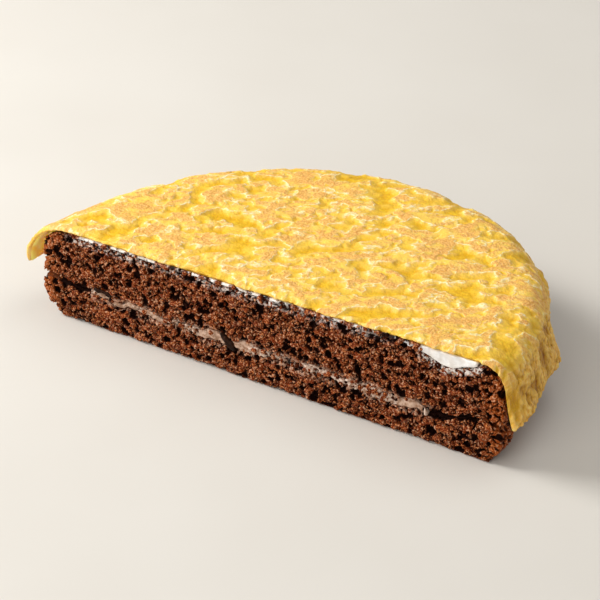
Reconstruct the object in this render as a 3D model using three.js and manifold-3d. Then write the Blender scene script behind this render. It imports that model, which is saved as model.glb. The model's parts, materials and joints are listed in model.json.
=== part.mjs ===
// Half of a round crepe chiffon cake, standing on its base with the cut face to the front, -Y.
// From the bottom up: a chocolate sponge layer, a cream filling with two chocolate chips at the cut,
// a second sponge layer, a spread of white cream, and one browned egg crepe that lies over the top
// and hangs down round the side in loose waves.
// Millimetres, +Z up, +X along the cut. The origin is under the middle of the whole cake.

import * as THREE from "three";
import { ImprovedNoise } from "three/addons/math/ImprovedNoise.js";
import { mergeVertices } from "three/addons/utils/BufferGeometryUtils.js";
import Module from "manifold-3d";

// Sponge
const RADIUS = 80; // of the round, and half the width along the cut
const SKEW = 0.04; // the back lies to the right of the cut's middle, by this share of its depth
const BASE_RADIUS = { left: 76.5, right: 78 }; // the foot of the lower layer, rounder at the left
const RIM_RADIUS = { left: 83.5, right: 80 }; // top of the lower layer, which sits a little to the left
const BELLY_RADIUS = 82.5; // bottom of the upper layer
const CREPE_GAP = 1.1; // air between the side of the upper layer and the crepe
const CRUMB_RELIEF = 0.6; // unevenness of the torn crumb at the cut
const SIDE_RELIEF = 0.35; // unevenness of the baked side
const CRUMB_SIZE = 4.3; // width of one bump
const SPONGE_GRID = { columns: 36, rows: 10, lowerLevels: 3, upperLevels: 4 };

// Where the layers meet
const CLEARANCE = 0.25; // air between pieces that touch
const SEAM_LEVEL = 11.2; // middle of the filling
const SEAM_RISE = { height: 2.7, from: 0.72, to: 0.98 }; // the seam climbs towards the rim
const SEAM_MOUTH = { half: 0.9, from: 0.9, to: 1.02 }; // the layers part at the rim
const SEAM_WAVE = { height: 0.45, size: 28 };

// Filling
const FILLING_PLAN = { middle: -4, halfCut: 62, depth: 65 };
const FILLING_THICKNESS = 1.3; // between the lumps
const LUMP_DEPTH = 18; // how far a lump runs in from the cut
const SPREAD_GRID = { columns: 36, rows: 6, crowding: 1.5 }; // rows crowd towards the cut
const LUMPS = [
  { x: -45, rise: 1.0, spread: 6 },
  { x: -20, rise: 2.6, spread: 4.5 },
  { x: -6, rise: 2.4, spread: 4 },
  { x: 17, rise: 1.3, spread: 6 },
  { x: 38, rise: 2.3, spread: 8 },
  { x: 51, rise: 1.6, spread: 4 },
];

// Chocolate chips, at the cut
const CHIP_DEPTH = 6;
const CHIP_PROUD = 0.6; // stands out of the cut
const CHIP_SIDES = 10;
const CHIPS = [
  { name: "chocolate_chip_left", x: -59.8, z: 13.4, length: 6.6, thickness: 1.7, tilt: 0.05 },
  { name: "chocolate_chip_middle", x: -12.8, z: 11.4, length: 7.2, thickness: 2.1, tilt: 0.82 },
];

// White cream under the crepe
const CREAM_PLAN = { middle: 0, halfCut: 74.5, depth: 74 };
const CREAM_THICKNESS = 0.6;
const CREAM_WEDGE = { x: 63, depth: 3.9, spread: 7, inward: 14 }; // thick wedge at the right of the cut
const LOBE = { share: 0.02, count: 4 }; // the edge of a spread wanders in, by a share of its width
const OVERCUT = 3; // the space for a spread runs out past the cut by this much

// Crepe
const CREPE_THICKNESS = 1.2;
const CREPE_LIFT = 0.8; // from the bare sponge to its underside
const CREPE_PROUD = 0.3; // stands out of the cut
const CREPE_LEVEL = { left: 31.3, middle: 31.9, right: 33.3 }; // its underside along the cut
const CREPE_SWELL = { height: 0.3, size: 45 }; // slow unevenness of the top
const BLISTER_HEIGHT = 0.9;
const BLISTER_SIZE = 8.5;
const FLAT_RADIUS = { right: 75.4, back: 77.3, left: 72.6 }; // the crepe turns down beyond this
const BACK = { from: 38, full: 65, until: 82, to: 168 }; // degrees round from the right of the cut
const TURN_RADIUS = { right: 6.5, back: 8.5, tail: 16 }; // of its shoulder; the tail is the left end
const HANG = { right: 84, loose: 78, tail: 88 }; // degrees below level of its hanging edge
const HANG_WAVE = 5;
const CLING_ANGLE = 16; // degrees round from the right of the cut, over which it comes loose
const TAIL_ANGLE = 16; // degrees before the left of the cut, over which the tail comes away
const HEM_LEVEL = { left: 15.5, right: 13.4 };
const HEM_WAVE = 1.3;
const RUFFLE = { reach: 1.7, loose: 1.2, every: 24, first: 3 }; // in and out waves of the hem, in degrees
const FLARE = { angle: 56, spread: 5, reach: 4, rise: 4.5 }; // one corner of the hem stands out
const WAVES = { hang: 3, hem: 5, ruffle: 8 }; // how often each wanders in a radian
const CREPE_GRID = { columns: 52, rows: 22 };

// A seed of its own for each unevenness
const SEED = {
  seam: 1,
  swell: 2,
  lower: 3,
  upper: 5,
  filling: 7,
  cream: 8,
  hang: 9,
  hem: 10,
  ruffle: 11,
  blister: 12,
};

const SEED_STEP = 17.1; // how far apart the seeds lie in the noise
const NOISE_START = { x: 0.37, y: 0.61, z: 0.23 }; // clear of the noise's own grid, where it is zero
const EDGE = 0.001; // grid points closer than this to a side lie on it

const { clamp, degToRad, lerp, radToDeg, smoothstep } = THREE.MathUtils;

const wasm = await Module();
wasm.setup();

const perlin = new ImprovedNoise();

// Smooth unevenness from -1 to 1 with bumps of about the given size, different for each seed.
function uneven(x, y, z, size, seed) {
  const along = x / size + NOISE_START.x + seed * SEED_STEP;
  return perlin.noise(along, y / size + NOISE_START.y, z / size + NOISE_START.z);
}

function blend(from, to, value) {
  return smoothstep(value, from, to);
}

// A point of a square grid, u from -1 to 1 along the cut and v from 0 at the cut to 1 at the back,
// moved onto a half disc of radius 1.
function halfDisc(u, v) {
  const x = u * Math.sqrt(1 - (v * v) / 2);
  const y = v * Math.sqrt(1 - (u * u) / 2);
  return { x, y, radius: Math.hypot(x, y), angle: Math.atan2(y, x) };
}

// A closed solid from a box that is split into a grid. place(u, v, w) gives each grid point its position;
// w runs from 0 at the underside to 1 at the top.
function gridSolid(columns, rows, levels, place) {
  const box = new THREE.BoxGeometry(2, 1, 1, columns, rows, levels);
  box.translate(0, 0.5, 0.5);
  box.deleteAttribute("normal");
  box.deleteAttribute("uv");
  const solid = mergeVertices(box);
  const points = solid.getAttribute("position");
  for (let i = 0; i < points.count; i += 1) {
    const point = place(points.getX(i), points.getY(i), points.getZ(i));
    points.setXYZ(i, point.x, point.y, point.z);
  }
  solid.computeVertexNormals();
  return solid;
}

// How far out a point is, as a share of the round.
function planShare(x, y) {
  return Math.hypot(x, y) / RADIUS;
}

// The surface on which the two sponge layers meet, in the middle of the filling.
function seamLevel(x, y) {
  const rise = SEAM_RISE.height * blend(SEAM_RISE.from, SEAM_RISE.to, planShare(x, y));
  return SEAM_LEVEL + rise + SEAM_WAVE.height * uneven(x, y, 0, SEAM_WAVE.size, SEED.seam);
}

// Half the air between the bare layers: a hair, and a mouth at the rim.
function seamHalfGap(x, y) {
  return CLEARANCE / 2 + SEAM_MOUTH.half * blend(SEAM_MOUTH.from, SEAM_MOUTH.to, planShare(x, y));
}

function crepeUnderside(x, y) {
  const t = x / RADIUS;
  const { left, middle, right } = CREPE_LEVEL;
  const slope = (right - left) / 2;
  const dish = (right + left) / 2 - middle;
  const swell = CREPE_SWELL.height * uneven(x, y, 0, CREPE_SWELL.size, SEED.swell);
  return middle + slope * t + dish * t * t + swell;
}

// How much of the corner that stands out is at an angle round the cake.
function flareShare(angle) {
  return Math.exp(-(((angle - degToRad(FLARE.angle)) / degToRad(FLARE.spread)) ** 2));
}

// The crepe's drape at an angle round the cake, 0 at the right of the cut and pi at the left: it is flat
// out to a radius, then turns over a shoulder and hangs straight down to its hem.
function drape(angle) {
  const turnShare = angle / Math.PI;
  const loose = blend(0, degToRad(CLING_ANGLE), angle);
  const tail = blend(Math.PI - degToRad(TAIL_ANGLE), Math.PI, angle);
  const toBack = blend(degToRad(BACK.from), degToRad(BACK.full), angle);
  const toLeft = blend(degToRad(BACK.until), degToRad(BACK.to), angle);
  const flat = lerp(lerp(FLAT_RADIUS.right, FLAT_RADIUS.back, toBack), FLAT_RADIUS.left, toLeft);
  const rounded = lerp(TURN_RADIUS.right, TURN_RADIUS.back, blend(0, Math.PI / 2, angle));
  const turn = lerp(rounded, TURN_RADIUS.tail, tail);
  const wave = HANG_WAVE * uneven(angle * WAVES.hang, 0, 0, 1, SEED.hang) * loose * (1 - tail);
  const hang = degToRad(lerp(lerp(HANG.right, HANG.loose, loose), HANG.tail, tail) + wave);
  const level = crepeUnderside(flat * Math.cos(angle), flat * Math.sin(angle));
  const hemWave = HEM_WAVE * uneven(angle * WAVES.hem, 0, 0, 1, SEED.hem) * Math.sin(angle);
  const hem = lerp(HEM_LEVEL.right, HEM_LEVEL.left, turnShare) + hemWave + FLARE.rise * flareShare(angle);
  const turnDrop = turn * (1 - Math.cos(hang));
  const skirt = (level - turnDrop - hem) / Math.sin(hang);
  return { flat, turn, hang, level, turnDrop, skirt };
}

// In and out waves of the hem, from none at the shoulder, share 0, to all at the hem, share 1.
function ruffle(angle, share) {
  const folds = (radToDeg(angle) - RUFFLE.first) / RUFFLE.every;
  const fold = RUFFLE.reach * Math.cos(2 * Math.PI * folds);
  const wander = RUFFLE.loose * uneven(angle * WAVES.ruffle, 0, 0, 1, SEED.ruffle) * Math.sin(angle);
  return share ** 2 * (fold + wander + FLARE.reach * flareShare(angle));
}

// How far out the crepe's underside is, this far below its flat part.
function drapeReach(angle, drop) {
  const { flat, turn, hang, turnDrop, skirt } = drape(angle);
  if (drop < turnDrop) {
    return flat + turn * Math.sin(Math.acos(1 - drop / turn));
  }
  const straight = (drop - turnDrop) / Math.sin(hang);
  const wave = ruffle(angle, Math.min(straight / skirt, 1));
  return flat + turn * Math.sin(hang) + straight * Math.cos(hang) + wave;
}

// A sponge layer before the cream: bottom and top are its faces, and radius(w, angle) is its side, from the
// bottom up and round from the right end of the cut.
function spongeLayer(levels, radius, bottom, top, seed) {
  return gridSolid(SPONGE_GRID.columns, SPONGE_GRID.rows, levels, (u, v, w) => {
    const disc = halfDisc(u, v);
    const atSide = Math.abs(u) > 1 - EDGE || v > 1 - EDGE;
    let reach = radius(w, disc.angle);
    if (atSide) {
      reach += SIDE_RELIEF * uneven(RADIUS * disc.angle, SEAM_LEVEL * w, 0, CRUMB_SIZE, seed);
    }
    const x = disc.x * reach;
    let y = disc.y * reach;
    const z = lerp(bottom(x, y), top(x, y), w);
    if (v < EDGE) {
      y = CRUMB_RELIEF * uneven(x, z, 0, CRUMB_SIZE, seed + 1);
    }
    return { x, y, z };
  });
}

function lowerSponge() {
  const radius = (w, angle) => {
    const base = lerp(BASE_RADIUS.right, BASE_RADIUS.left, angle / Math.PI);
    const rim = lerp(RIM_RADIUS.right, RIM_RADIUS.left, angle / Math.PI);
    return lerp(base, rim, Math.sqrt(w));
  };
  const bottom = () => 0;
  const top = (x, y) => seamLevel(x, y) - seamHalfGap(x, y);
  return spongeLayer(SPONGE_GRID.lowerLevels, radius, bottom, top, SEED.lower);
}

// The upper layer's side is upright, and rounds off under the crepe's shoulder.
function upperSponge() {
  const bottom = (x, y) => seamLevel(x, y) + seamHalfGap(x, y);
  const top = (x, y) => crepeUnderside(x, y) - CREPE_LIFT;
  const foot = SEAM_LEVEL + SEAM_RISE.height + SEAM_MOUTH.half;
  const radius = (w, angle) => {
    const drop = lerp(drape(angle).level - foot, CREPE_LIFT, w);
    return Math.min(BELLY_RADIUS, drapeReach(angle, drop) - CREPE_GAP);
  };
  return spongeLayer(SPONGE_GRID.upperLevels, radius, bottom, top, SEED.upper);
}

// A spread of cream over a lobed half disc, with rows closer together near the cut, where it is lumpy.
// Its front is ragged. With grow it is the space that it takes out of the sponge, open at the cut.
function creamSpread(plan, bottom, top, grow, seed) {
  return gridSolid(SPREAD_GRID.columns, SPREAD_GRID.rows, 1, (u, v, w) => {
    const disc = halfDisc(u, v ** SPREAD_GRID.crowding);
    const lobe = 1 - LOBE.share * (1 + uneven(disc.x, disc.y, 0, 1 / LOBE.count, seed));
    const x = plan.middle + disc.x * (plan.halfCut * lobe + grow);
    let y = disc.y * (plan.depth * lobe + grow);
    const z = lerp(bottom(x, y) - grow, top(x, y) + grow, w);
    if (v < EDGE) {
      y = grow > 0 ? -OVERCUT : CRUMB_RELIEF * uneven(x, z, 0, CRUMB_SIZE, seed);
    }
    return { x, y, z };
  });
}

function fillingThickness(x, y) {
  let thickness = FILLING_THICKNESS;
  for (const lump of LUMPS) {
    thickness += lump.rise * Math.exp(-(((x - lump.x) / lump.spread) ** 2) - (y / LUMP_DEPTH) ** 2);
  }
  return thickness;
}

function filling(grow) {
  const bottom = (x, y) => seamLevel(x, y) - fillingThickness(x, y) / 2;
  const top = (x, y) => seamLevel(x, y) + fillingThickness(x, y) / 2;
  return creamSpread(FILLING_PLAN, bottom, top, grow, SEED.filling);
}

function creamThickness(x, y) {
  const { x: middle, depth, spread, inward } = CREAM_WEDGE;
  return CREAM_THICKNESS + depth * Math.exp(-(((x - middle) / spread) ** 2) - (y / inward) ** 2);
}

function topCream(grow) {
  const top = (x, y) => crepeUnderside(x, y) - CLEARANCE;
  const bottom = (x, y) => top(x, y) - creamThickness(x, y);
  return creamSpread(CREAM_PLAN, bottom, top, grow, SEED.cream);
}

// The crepe's underside at an angle round the cake and a share of the way from its middle to its hem.
function crepeProfile(angle, share) {
  const { flat, turn, hang, level, skirt } = drape(angle);
  const along = share * (flat + turn * hang + skirt);
  const tilt = clamp((along - flat) / turn, 0, hang);
  const straight = Math.max(along - flat - turn * hang, 0);
  const curve = turn * Math.sin(tilt) + straight * Math.cos(hang);
  return {
    radius: Math.min(along, flat) + curve + ruffle(angle, straight / skirt),
    drop: turn * (1 - Math.cos(tilt)) + straight * Math.sin(hang),
    level,
    tilt,
    along,
  };
}

function blister(x, y) {
  const broad = uneven(x, y, 0, BLISTER_SIZE, SEED.blister);
  const fine = uneven(x, y, 0, BLISTER_SIZE / 2, SEED.blister + 1);
  return BLISTER_HEIGHT * clamp((1 + fine) / 2 + broad, 0, 1);
}

function crepe() {
  return gridSolid(CREPE_GRID.columns, CREPE_GRID.rows, 1, (u, v, w) => {
    const disc = halfDisc(u, v);
    const { radius, drop, level, tilt, along } = crepeProfile(disc.angle, disc.radius);
    const cos = Math.cos(disc.angle);
    const sin = Math.sin(disc.angle);
    const thickness = w * (CREPE_THICKNESS + blister(along * cos, along * sin));
    const reach = radius + thickness * Math.sin(tilt);
    const bed = tilt > 0 ? level : crepeUnderside(radius * cos, radius * sin);
    return {
      x: reach * cos,
      y: v < EDGE ? -CREPE_PROUD : reach * sin,
      z: bed - drop + thickness * Math.cos(tilt),
    };
  });
}

// A chip is a flat oval rod that runs in from the cut; grow widens it for the pocket that it sits in.
function chipSolid(chip, grow) {
  const outline = new THREE.Shape();
  outline.absellipse(0, 0, chip.length / 2 + grow, chip.thickness / 2 + grow, 0, 2 * Math.PI);
  const rod = new THREE.ExtrudeGeometry(outline, {
    depth: CHIP_DEPTH + CHIP_PROUD + 2 * grow,
    curveSegments: CHIP_SIDES,
    bevelEnabled: false,
  });
  rod.rotateX(Math.PI / 2);
  rod.translate(0, CHIP_DEPTH + grow, 0);
  rod.rotateY(chip.tilt);
  rod.translate(chip.x, 0, chip.z);
  rod.deleteAttribute("normal");
  rod.deleteAttribute("uv");
  const solid = mergeVertices(rod);
  solid.computeVertexNormals();
  return solid;
}

function toManifold(geometry) {
  return new wasm.Manifold(
    new wasm.Mesh({
      numProp: 3,
      vertProperties: new Float32Array(geometry.getAttribute("position").array),
      triVerts: new Uint32Array(geometry.getIndex().array),
    }),
  );
}

// The geometry with the spaces of other pieces cut out of it.
function cutBy(geometry, spaces) {
  let solid = toManifold(geometry);
  for (const space of spaces) {
    solid = solid.subtract(toManifold(space));
  }
  const mesh = solid.getMesh();
  const cut = new THREE.BufferGeometry();
  cut.setAttribute("position", new THREE.BufferAttribute(mesh.vertProperties, 3));
  cut.setIndex(new THREE.BufferAttribute(mesh.triVerts, 1));
  cut.computeVertexNormals();
  return cut;
}

function food(color, roughness) {
  return new THREE.MeshStandardMaterial({ color, roughness, metalness: 0 });
}

const spongeFinish = food(0x4a2414, 0.95);
const chipFinish = food(0x1f120c, 0.45);

const lean = new THREE.Matrix4().makeShear(0, 0, SKEW, 0, 0, 0);

function piece(name, geometry, material) {
  const mesh = new THREE.Mesh(geometry.applyMatrix4(lean), material);
  mesh.name = name;
  return mesh;
}

const chipSpaces = CHIPS.map((chip) => chipSolid(chip, CLEARANCE));
const fillingSpace = filling(CLEARANCE);
const lower = cutBy(lowerSponge(), [fillingSpace, ...chipSpaces]);
const upper = cutBy(upperSponge(), [fillingSpace, topCream(CLEARANCE), ...chipSpaces]);

const cake = new THREE.Group();
cake.add(piece("sponge_lower", lower, spongeFinish.clone()));
cake.add(piece("filling_cream", cutBy(filling(0), chipSpaces), food(0xb89684, 0.7)));
cake.add(piece("sponge_upper", upper, spongeFinish.clone()));
cake.add(piece("top_cream", topCream(0), food(0xefeae2, 0.5)));
cake.add(piece("crepe", crepe(), food(0xeebd4a, 0.6)));
for (const chip of CHIPS) {
  cake.add(piece(chip.name, chipSolid(chip, 0), chipFinish.clone()));
}

// Bring the middle of the whole cake over the origin.
const middle = new THREE.Box3().setFromObject(cake).getCenter(new THREE.Vector3());
cake.position.set(-middle.x, -middle.y, 0);

export default cake;
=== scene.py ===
# %% [markdown]
# # Half of a crepe chiffon cake
#
# The plain solids of the cake come in as a fixed frame: two chocolate sponge layers, the cream between
# them with two chocolate chips, a spread of white cream, and a yellow crepe over the top. This lesson
# gives each of them its real surface. Everything is in metres: X runs along the cut, Y from the cut to
# the round back, and Z is up.

import json
import math

import bpy
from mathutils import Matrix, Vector

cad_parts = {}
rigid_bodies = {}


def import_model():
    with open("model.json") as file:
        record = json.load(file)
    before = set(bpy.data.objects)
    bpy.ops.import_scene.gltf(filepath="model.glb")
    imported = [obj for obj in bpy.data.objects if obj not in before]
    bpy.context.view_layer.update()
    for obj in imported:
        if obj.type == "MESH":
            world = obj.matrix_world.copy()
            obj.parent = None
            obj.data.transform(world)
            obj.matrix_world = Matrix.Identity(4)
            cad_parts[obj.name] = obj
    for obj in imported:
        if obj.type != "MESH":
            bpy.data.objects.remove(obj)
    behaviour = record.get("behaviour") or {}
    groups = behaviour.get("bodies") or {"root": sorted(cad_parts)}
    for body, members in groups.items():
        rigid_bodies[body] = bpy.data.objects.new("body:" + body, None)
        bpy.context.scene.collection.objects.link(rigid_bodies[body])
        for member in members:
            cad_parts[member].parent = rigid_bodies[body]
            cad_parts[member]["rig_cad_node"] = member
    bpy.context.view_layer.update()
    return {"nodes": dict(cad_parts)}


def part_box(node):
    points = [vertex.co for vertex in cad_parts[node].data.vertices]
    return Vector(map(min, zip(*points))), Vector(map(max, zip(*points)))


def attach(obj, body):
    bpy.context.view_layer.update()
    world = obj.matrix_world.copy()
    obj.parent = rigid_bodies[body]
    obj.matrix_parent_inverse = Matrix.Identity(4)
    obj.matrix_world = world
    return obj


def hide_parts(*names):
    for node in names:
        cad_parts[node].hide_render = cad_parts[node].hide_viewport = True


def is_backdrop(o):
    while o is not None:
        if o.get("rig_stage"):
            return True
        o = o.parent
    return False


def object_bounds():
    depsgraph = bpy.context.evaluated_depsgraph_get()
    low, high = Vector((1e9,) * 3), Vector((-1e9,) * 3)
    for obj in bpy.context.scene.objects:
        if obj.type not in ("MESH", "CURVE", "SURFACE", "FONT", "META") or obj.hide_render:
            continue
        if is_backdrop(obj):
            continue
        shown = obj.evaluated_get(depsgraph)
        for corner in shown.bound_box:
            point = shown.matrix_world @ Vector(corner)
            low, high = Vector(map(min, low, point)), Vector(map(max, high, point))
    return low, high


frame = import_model()
MM = 0.001

# %% [markdown]
# ## The camera
#
# The picture was taken with a long lens, from the right of the cut and about 32 degrees above the floor.
# A camera can be aimed with a Track To constraint, but here its turn is worked out once from the two
# angles, so that nothing has to be evaluated later.


# %% Place the camera
def toward(turn, rise):
    """The direction from the cake at a turn to the right of the cut and a rise above the floor."""
    level = math.cos(rise)
    return Vector((math.sin(turn) * level, -math.cos(turn) * level, math.sin(rise)))


VIEW_TURN = math.radians(31.788)
VIEW_RISE = math.radians(32.0)
VIEW_DISTANCE = 839.4 * MM
VIEW_TARGET = Vector((-15.27 * MM, 2.46 * MM, 0.0))
LENS = 156.0
SENSOR = 36.0

bpy.ops.object.select_all(action="DESELECT")
bpy.ops.object.camera_add(
    location=VIEW_TARGET + VIEW_DISTANCE * toward(VIEW_TURN, VIEW_RISE),
    rotation=(math.pi / 2 - VIEW_RISE, 0.0, VIEW_TURN),
)
camera = bpy.context.object
camera.name = "camera"
camera.data.lens = LENS
camera.data.sensor_width = SENSOR
bpy.context.scene.camera = camera
print("camera at", [round(value, 3) for value in camera.location])

# %% [markdown]
# ## Working on one piece at a time
#
# Operators act on whatever is selected, and the solids arrive selected, so each step first picks one
# piece. A new mesh could be modelled from nothing, but the solids already have the true form and place, so
# each piece starts as a copy of its solid. The copy's triangles are loose, and are merged into one skin
# before anything else.

# %% Pick, copy and modify pieces
MERGE_GAP = 0.01 * MM


def pick(piece):
    """Makes piece the only selected object, and the active one."""
    bpy.ops.object.select_all(action="DESELECT")
    piece.select_set(True)
    bpy.context.view_layer.objects.active = piece


def copy_of(node):
    """A copy of a solid that takes its place, merged into one skin and ready to model."""
    pick(frame["nodes"][node])
    bpy.ops.object.duplicate()
    piece = bpy.context.object
    piece.name = node + "_dressed"
    piece.data.materials.clear()
    del piece["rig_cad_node"]
    bpy.ops.object.mode_set(mode="EDIT")
    bpy.ops.mesh.select_all(action="SELECT")
    bpy.ops.mesh.remove_doubles(threshold=MERGE_GAP)
    bpy.ops.object.mode_set(mode="OBJECT")
    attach(piece, "root")
    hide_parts(node)
    return piece


def modify(piece, kind, **settings):
    """Adds a modifier to piece and applies it."""
    pick(piece)
    bpy.ops.object.modifier_add(type=kind)
    modifier = piece.modifiers[-1]
    for name, value in settings.items():
        setattr(modifier, name, value)
    bpy.ops.object.modifier_apply(modifier=modifier.name)


def report(piece):
    """Prints how many triangles a piece has."""
    triangles = sum(len(face.vertices) - 2 for face in piece.data.polygons)
    print(piece.name, "has", triangles, "triangles")


print("solids to dress:", ", ".join(frame["nodes"]))

# %% [markdown]
# ## Node trees as sums
#
# Surfaces and finishes here are small node trees, and most of their nodes are arithmetic. Written out one
# node at a time they are hard to read. A small class wraps a socket, so that `1 - mask * depth` adds the
# Math nodes by itself, and one method adds any other node.

# %% The Wire class
HALF = (0.5, 0.5, 0.5)


class Wire:
    """One socket of a node tree. Arithmetic on it adds Math nodes, and node() adds any other kind."""

    def __init__(self, tree, socket=None):
        self.tree = tree
        self.socket = socket

    def node(self, kind, settings, sockets, output=0):
        """Adds a node: first its settings, then values or links for its sockets."""
        made = self.tree.nodes.new(kind)
        for name, value in settings.items():
            setattr(made, name, value)
        places = by_name(made.inputs)
        for name, value in sockets.items():
            if isinstance(value, Wire):
                self.tree.links.new(value.socket, places[name])
            else:
                places[name].default_value = value
        return Wire(self.tree, by_name(made.outputs).get(output))

    def other(self, output):
        """Another output of the same node."""
        return Wire(self.tree, by_name(self.socket.node.outputs)[output])

    def math(self, operation, first, second):
        """A Math node on two values or wires."""
        return self.node("ShaderNodeMath", {"operation": operation}, {"Value": first, "Value_001": second})

    def __add__(self, other):
        return self.math("ADD", self, other)

    __radd__ = __add__

    def __sub__(self, other):
        return self.math("SUBTRACT", self, other)

    def __rsub__(self, other):
        return self.math("SUBTRACT", other, self)

    def __mul__(self, other):
        return self.math("MULTIPLY", self, other)

    __rmul__ = __mul__

    def __truediv__(self, other):
        return self.math("DIVIDE", self, other)

    def __rtruediv__(self, other):
        return self.math("DIVIDE", other, self)

    def __gt__(self, other):
        return self.math("GREATER_THAN", self, other)

    def __lt__(self, other):
        return self.math("LESS_THAN", self, other)

    def __abs__(self):
        return self.math("ABSOLUTE", self, 0.0)

    def __pow__(self, other):
        return self.math("POWER", self, other)

    def above(self, other):
        """This value, or the other where that is higher."""
        return self.math("MAXIMUM", self, other)

    def below(self, other):
        """This value, or the other where that is lower."""
        return self.math("MINIMUM", self, other)

    def rise(self, low, high):
        """0 up to low, 1 from high, and a soft step between them."""
        sockets = {"Value": self, "From Min": low, "From Max": high}
        return self.node("ShaderNodeMapRange", {"interpolation_type": "SMOOTHSTEP"}, sockets)

    def dot(self, other):
        """How far this vector reaches along another."""
        sockets = {"Vector": self, "Vector_001": other}
        return self.node("ShaderNodeVectorMath", {"operation": "DOT_PRODUCT"}, sockets, "Value")

    def vector(self, operation, other):
        """A Vector Math node on this vector and another."""
        sockets = {"Vector": self, "Vector_001": other}
        return self.node("ShaderNodeVectorMath", {"operation": operation}, sockets)

    def scaled(self, factor):
        """This vector, longer by a factor."""
        return self.node("ShaderNodeVectorMath", {"operation": "SCALE"}, {"Vector": self, "Scale": factor})

    def noise(self, size, detail=2.0, roughness=0.5, output="Fac"):
        """Soft noise from 0 to 1 over this position, with bumps of about the given size in metres."""
        sockets = {"Vector": self, "Scale": 1 / size, "Detail": detail, "Roughness": roughness}
        return self.node("ShaderNodeTexNoise", {"noise_dimensions": "3D"}, sockets, output)

    def bumps(self, size, height, detail=2.0, middle=0.5):
        """Noise as a height over this position. Where the noise is at its middle, the height is 0."""
        return (self.noise(size, detail=detail) - middle) * height

    def stray(self, size, reach):
        """A random offset that changes over about the given size. Half of reach is the most it can be."""
        return self.noise(size, output="Color").vector("SUBTRACT", HALF).scaled(reach)


def by_name(sockets):
    """A node's sockets by number, name and identifier. Of two with one name, the first is kept."""
    places = dict(enumerate(sockets))
    for socket in reversed(sockets):
        places[socket.name] = socket
    for socket in sockets:
        places[socket.identifier] = socket
    return places


def rgb(text):
    """A colour for a shader from its hex text, which is how a picture would show it."""
    shown = [int(text[i:i + 2], 16) / 255 for i in (0, 2, 4)]
    return tuple(v / 12.92 if v <= 0.04045 else ((v + 0.055) / 1.055) ** 2.4 for v in shown) + (1.0,)


# %% [markdown]
# ## Relief
#
# A Displace modifier moves a surface by one texture. Crumb and crepe need several patterns that depend on
# each other and on which way the surface faces, so a Geometry Nodes tree does it, and is then applied like
# any modifier. It also stores what it did as attributes, for the finish to read: a pore can then be painted
# darker inside as shade, and the hem of the crepe browner.


# %% Run a relief tree on a piece
def relieve(piece, build):
    """Applies a Geometry Nodes tree to piece. build(position, normal, geometry) gives its result."""
    tree = bpy.data.node_groups.new(piece.name + "_relief", "GeometryNodeTree")
    tree.interface.new_socket("Geometry", in_out="INPUT", socket_type="NodeSocketGeometry")
    tree.interface.new_socket("Geometry", in_out="OUTPUT", socket_type="NodeSocketGeometry")
    start = Wire(tree)
    geometry = start.node("NodeGroupInput", {}, {})
    position = start.node("GeometryNodeInputPosition", {}, {})
    normal = start.node("GeometryNodeInputNormal", {}, {})
    result = build(position, normal, geometry)
    start.node("NodeGroupOutput", {}, {"Geometry": result})
    modify(piece, "NODES", node_group=tree)


def keep(geometry, name, value, kind="FLOAT"):
    """Stores a value on each point as a named attribute."""
    settings = {"data_type": kind, "domain": "POINT"}
    sockets = {"Geometry": geometry, "Name": name, "Value": value}
    return geometry.node("GeometryNodeStoreNamedAttribute", settings, sockets)


def move(geometry, offset):
    """Moves each point by an offset."""
    return geometry.node("GeometryNodeSetPosition", {}, {"Geometry": geometry, "Offset": offset})


def push(geometry, normal, height):
    """Moves each point out along the normal by height."""
    return move(geometry, normal.scaled(height))


# %% [markdown]
# ## The sponge
#
# Chiffon crumb is a torn foam: round granules a millimetre across cling together, with dark gaps and
# burst bubbles between them. Bump alone would leave the edge of the cut straight, so the crumb is real
# relief. Sculpting each granule by hand would take days. Voronoi cells give the same look, because they
# hold the middles of a random packing of balls: near caps of the balls make granules, and far walls make
# bubbles.

# %% Balls in the crumb
RED = (1.0, 0.0, 0.0)


def balls(position, normal, cell, smallest, widest, shift):
    """Balls in a random packing, with radii as shares of the cell.

    Gives how far the nearest ball's middle lies below the surface, how high the ball reaches over
    its middle at this point, and a random share that each ball has of its own.
    """
    place = position.vector("ADD", (shift, shift, shift))
    sockets = {"Vector": place, "Scale": 1 / cell, "Randomness": 1.0}
    cells = place.node("ShaderNodeTexVoronoi", {"voronoi_dimensions": "3D", "feature": "F1"}, sockets)
    to_middle = cells.other("Position").vector("SUBTRACT", place)
    share = cells.other("Color").dot(RED)
    radius = cell * (smallest + (widest - smallest) * share)
    sunk = -1.0 * to_middle.dot(normal)
    aside = to_middle.dot(to_middle) - sunk * sunk
    reach = (radius * radius - aside).above(0.0) ** 0.5
    return sunk, reach, share


# %% Granules and bubbles
GRANULE_GAP = 0.9 * MM
NO_BALL = 0.01 * MM


def bubbles(position, normal, **packing):
    """Depth of burst bubbles: down to the far wall of each ball that the surface cuts."""
    sunk, reach, _ = balls(position, normal, **packing)
    return (reach > abs(sunk)) * (sunk + reach)


def granules(position, normal, **packing):
    """Height of granules: up to the near cap of each ball, and a gap where there is none."""
    sunk, reach, share = balls(position, normal, **packing)
    return (reach - sunk - GRANULE_GAP * (reach < NO_BALL)).above(-GRANULE_GAP), share


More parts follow.
